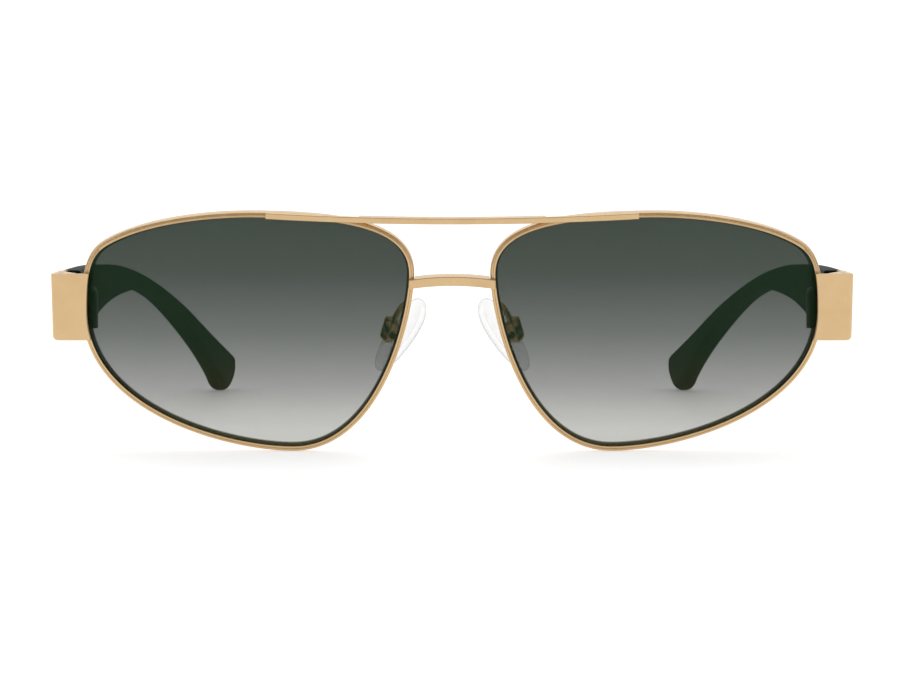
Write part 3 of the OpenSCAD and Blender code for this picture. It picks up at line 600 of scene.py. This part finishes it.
def temple_shell():
    """A rounded rectangle carried along the temple: its height runs between the lower and upper
    edge, its place follows the inward curve, and its corners are quarter circles of 0.6 mm, which
    grow to 1.6 mm towards the tip. The last rings shrink by a quarter circle of 0.5 mm, which
    rounds the tip's end."""
    lower, upper = temple_edges()
    end_r, edge_r, tip_r = 0.5, 0.6, 1.6
    s = np.concatenate([[0.0, 0.1, 0.25], np.linspace(0.8, TEMPLE_L - 8, 110),
                        np.linspace(TEMPLE_L - 7.5, TEMPLE_L - end_r, 24),
                        TEMPLE_L - end_r * (1 - np.sin(np.linspace(0.15, 1, 7) * np.pi / 2))])
    low = np.interp(s, lower[:, 0], lower[:, 1])
    high = np.interp(s, upper[:, 0], upper[:, 1])
    bend = np.maximum(s - TEMPLE_STRAIGHT, 0) ** 2 / (2 * TEMPLE_CURVE_R)
    inset = end_r - np.sqrt(np.clip(end_r**2 - np.clip(s - TEMPLE_L + end_r, 0, end_r) ** 2, 0, None))
    inset = (inset + 0.2 * (1 - np.clip(s / 0.25, 0, 1)) ** 2)[:, None]
    grown = np.clip((s - TEMPLE_L + 34) / 26, 0, 1)
    r = (edge_r + (tip_r - edge_r) * grown**2 * (3 - 2 * grown))[:, None]
    r = np.minimum(r, TEMPLE_T / 2 - inset - 0.1)
    a = np.radians(np.concatenate([np.linspace(q, q + 90, 7) for q in (0, 90, 180, 270)]))
    quarter = np.repeat([[1, 1], [-1, 1], [-1, -1], [1, -1]], 7, axis=0)
    half_t, half_h = TEMPLE_T / 2, ((high - low) / 2)[:, None]
    u = quarter[:, 0] * (half_t - inset - r) + r * np.cos(a)
    z = quarter[:, 1] * (half_h - inset - r) + r * np.sin(a)
    rings = np.stack([INNER_U + half_t - bend[:, None] + u, np.broadcast_to(s[:, None], u.shape),
                      ((low + high) / 2)[:, None] + z], -1)
    return bar_shell(at_hinge(rings))


# ---------------------------------------------------------------- nose pads, boxes and arms

def pad_outline():
    """The pad seen face on: round above, narrower below."""
    t = np.linspace(0, 1, 28)
    lower = cubic([(0, -0.51 * PAD_L), (0.3 * PAD_W, -0.51 * PAD_L), (PAD_W / 2, -0.22 * PAD_L),
                   (PAD_W / 2, 0.1 * PAD_L)], t)[:-1]
    upper = cubic([(PAD_W / 2, 0.1 * PAD_L), (PAD_W / 2, 0.34 * PAD_L), (0.32 * PAD_W, 0.49 * PAD_L),
                   (0, 0.49 * PAD_L)], t)
    half = np.vstack([lower, upper])
    return np.vstack([half, half[-2:0:-1] * [-1, 1]])


def nose_pad_shells():
    """The pad is its outline shrunk ring by ring: the face rises as a dome and the edge is round.
    The boss is a rounded stem that reaches into the box."""
    outline = pad_outline() * 0.995
    edge_t, dome = 0.65, PAD_T - 1.35
    rings, heights = [], []
    for q in np.linspace(0.12, 0.9, 9):
        rings.append(outline * q)
        heights.append(0.02)
    for a in np.radians(np.linspace(-80, 80, 13)):
        rings.append(outline * (0.9 + 0.1 * np.cos(a)))
        heights.append(edge_t + edge_t * np.sin(a))
    for q in np.linspace(0.88, 0.1, 14):
        rings.append(outline * q)
        heights.append(2 * edge_t + dome * (1 - q**2) ** 0.8)
    place = np.array([-PAD_INSET, PAD_RISE, PAD_SEAT])
    flat = np.stack(rings)
    z = np.broadcast_to(np.array(heights)[:, None, None], flat.shape[:2] + (1,))
    pad = domed_shell(at_pad(np.concatenate([flat, z], -1) + place),
                      at_pad(place + [0, 0, 0.02]), at_pad(place + [0, 0, 2 * edge_t + dome]))
    a = np.radians(np.arange(0, 360, 12))
    stem = []
    for z, w, l, up in ((-0.95, 0.5, 0.3, 0), (-0.85, 0.75, 0.55, 0), (-0.4, 0.86, 0.9, 0),
                        (0.2, 0.88, 0.85, 0.1), (1.0, 0.88, 0.85, 0.17), (1.6, 0.95, 1.0, 0.2),
                        (PAD_SEAT + 0.1, 1.15, 1.4, 0.2)):
        stem.append(np.stack([w * np.sign(np.cos(a)) * np.abs(np.cos(a)) ** 0.6,
                              up + l * np.sign(np.sin(a)) * np.abs(np.sin(a)) ** 0.6,
                              np.full(len(a), z)], 1))
    return [pad, bar_shell(at_pad(np.stack(stem)))]


def rounded_rectangle(width, length, r, n=6):
    """Outline of a rectangle with quarter circles at its corners."""
    corners = [arc((sx * (width / 2 - r), sy * (length / 2 - r)), (r, r), q, q + 90, n)
               for sx, sy, q in ((1, 1, 0), (-1, 1, 90), (-1, -1, 180), (1, -1, 270))]
    return np.vstack(corners)


def box_shell():
    """A tube of rounded rectangular section: the outside is carried from floor to top, then over
    a rounded lip and back down the inside, and the last ring closes on the first."""
    r, hole_r, lip = 0.8, 0.45, 0.14
    inside = (BOX_W - 2 * BOX_WALL, BOX_L - 2 * BOX_WALL)
    a = np.radians(np.linspace(0, 90, 4))
    rings = []
    for inset, z in zip(lip * (1 - np.sin(a)), BOX_FLOOR + lip * (1 - np.cos(a))):
        rings.append((BOX_W - 2 * inset, BOX_L - 2 * inset, r, z))
    for inset, z in zip(lip * (1 - np.cos(a)), BOX_TOP - lip * (1 - np.sin(a))):
        rings.append((BOX_W - 2 * inset, BOX_L - 2 * inset, r, z))
    for inset, z in zip(lip * (1 - np.sin(a)), BOX_TOP - lip * (1 - np.cos(a))):
        rings.append((inside[0] + 2 * inset, inside[1] + 2 * inset, hole_r, z))
    for inset, z in zip(lip * (1 - np.cos(a)), BOX_FLOOR + lip * (1 - np.sin(a))):
        rings.append((inside[0] + 2 * inset, inside[1] + 2 * inset, hole_r, z))
    rings = np.stack([np.column_stack([rounded_rectangle(w, l, q) + [0, BOX_UP], np.full(24, z)])
                      for w, l, q, z in rings])
    return at_box(rings).reshape(-1, 3), grid_faces(*rings.shape[:2], True, True)


def arm_shell():
    """Round wire along one cubic curve, which leaves the back of the rim and meets the top of the
    pad's box square on."""
    at = sum(PER_SPAN[:3]) + round(ARM_SHARE * PER_SPAN[3])
    p = OPENING[at] + 0.5 * RIM_W * OUTWARD[at]
    foot = np.array([p[0], depth(*p) + RIM_END + BRAZE, p[1]])
    head = PAD_PLACE - ARM_SIDE * PAD_ACROSS + (BOX_UP + BOX_L / 2 + BRAZE) * BOX_ALONG
    line = cubic([foot, foot + ARM_LEAD, head + ARM_DROP * BOX_ALONG, head], np.linspace(0, 1, 40))
    d, side, top = frame_along(line)
    a = np.radians(np.arange(0, 360, 15))[None, :, None]
    rings = line[:, None] + WIRE_D / 2 * (np.cos(a) * side[:, None] + np.sin(a) * top[:, None])
    return bar_shell(leaning(rings))


# ---------------------------------------------------------------- all pieces

def dress(node, material):
    """A CAD node keeps its shape and takes a finish."""
    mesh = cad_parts[node].data
    mesh.materials.clear()
    mesh.materials.append(material)


nose_bridge()
brow_bar()
for word, side in SIDES.items():
    piece(f"rim_wire_{word}", [rim_shell()], RIM_GOLD, "front", [f"rim_{word}"], side)
    # The lens's marks carry its painted edge shade.
    glass, marks = lens_shell()
    piece(f"gradient_lens_{word}", [glass], TINTED, "front", [f"lens_{word}"], side,
          marks={"ground_edge": marks})
    bevel(piece(f"wrap_endpiece_{word}", endpiece_shells(), PLATE_GOLD, "front",
                [f"endpiece_{word}"], side), 0.22)
    piece(f"acetate_temple_{word}", [temple_shell()], ACETATE, f"temple_{word}",
          [f"temple_{word}"], side)
    piece(f"teardrop_pad_{word}", nose_pad_shells(), CLEAR, f"pad_{word}", [f"nose_pad_{word}"],
          side)
    piece(f"pad_wire_{word}", [arm_shell()], RIM_GOLD, "front", [f"pad_arm_{word}"], side)
    piece(f"pad_tube_{word}", [box_shell()], RIM_GOLD, "front", [f"pad_box_{word}"], side)
    for name in ("rim_lock_upper", "rim_lock_lower"):
        dress(f"{name}_{word}", RIM_GOLD)
    # The hinge leaves and pad screws take steel darkened as painted shade, for the shadow they sit in.
    for name in ("hinge_front_leaf", "hinge_temple_leaf", "pad_screw"):
        dress(f"{name}_{word}", SHADE_DARKENED_STEEL)
    for name in ("rim_lock_screw", "hinge_screw", "hinge_rivets", "temple_core"):
        dress(f"{name}_{word}", STEEL)


# ---------------------------------------------------------------- studio

def studio_floor():
    """A floor that curves up into a backdrop: a flat stretch, a quarter circle and a wall."""
    f = Finish("studio_paper", Roughness=0.55, Specular_IOR_Level=0.3, Emission_Strength=0.45)
    f.shader.inputs["Emission Color"].default_value = (1, 1, 1, 1)
    grain = f.noise(40.0, 3.0)
    paper = f.feed(Base_Color=f.ramp(grain, [(0.3, (0.8, 0.8, 0.8)), (0.7, (0.82, 0.82, 0.82))]))
    radius = 0.6
    a = np.radians(np.linspace(-90, 0, 24))
    profile = np.vstack([[[-4.0, 0.0]], np.stack([1.2 + radius * np.cos(a), radius + radius * np.sin(a)], 1),
                         [[1.2 + radius, 3.0]]])
    xs = np.linspace(-4, 4, 9)
    grid = np.stack([np.broadcast_to(xs[:, None], (9, len(profile))),
                     np.broadcast_to(profile[None, :, 0], (9, len(profile))),
                     np.broadcast_to(profile[None, :, 1], (9, len(profile)))], -1)
    mesh = bpy.data.meshes.new("studio_floor")
    mesh.from_pydata(grid.reshape(-1, 3), [], grid_faces(9, len(profile)))
    mesh.polygons.foreach_set("use_smooth", np.ones(len(mesh.polygons), bool))
    mesh.materials.append(paper)
    floor = bpy.data.objects.new("studio_floor", mesh)
    bpy.context.scene.collection.objects.link(floor)


def softbox(name, place, target, size, power):
    """A rectangular soft light aimed at a point."""
    light = bpy.data.lights.new(name, "AREA")
    light.shape, light.size, light.size_y, light.energy = "RECTANGLE", size[0], size[1], power
    thing = bpy.data.objects.new(name, light)
    bpy.context.scene.collection.objects.link(thing)
    aim(thing, place, target)


def aim(thing, place, target):
    """Puts a light or camera at a place, looking at a target."""
    thing.location = place
    thing.rotation_euler = (Vector(target) - Vector(place)).to_track_quat("-Z", "Y").to_euler()


studio_floor()
softbox("overhead", (0, 0.25, 1.3), (0, 0, 0), (1.6, 1.2), 5.2)
softbox("side_left", (1.3, -0.3, 0.7), (0, 0, 0.02), (0.7, 0.9), 1.5)
softbox("side_right", (-1.3, -0.3, 0.7), (0, 0, 0.02), (0.7, 0.9), 1.5)

world = bpy.data.worlds.new("studio")
bpy.context.scene.world = world
world.use_nodes = True
world.node_tree.nodes["Background"].inputs["Color"].default_value = (1, 1, 1, 1)
world.node_tree.nodes["Background"].inputs["Strength"].default_value = 0.5
bpy.context.scene.view_settings.view_transform = "Standard"

# The camera looks along the temples from a little above, square to the front
VIEW_DISTANCE, VIEW_RISE, VIEW_HEIGHT, VIEW_ASIDE = 900.0, np.radians(4.3), 21.2, -0.41
camera = bpy.data.objects.new("camera", bpy.data.cameras.new("camera"))
camera.data.lens = 195.5
camera.data.clip_start, camera.data.clip_end = 0.01, 20
bpy.context.scene.collection.objects.link(camera)
target = np.array([VIEW_ASIDE, SHIFT_Y, VIEW_HEIGHT]) * MM
aim(camera, target + VIEW_DISTANCE * MM * np.array([0, -np.cos(VIEW_RISE), np.sin(VIEW_RISE)]), target)
bpy.context.scene.camera = camera
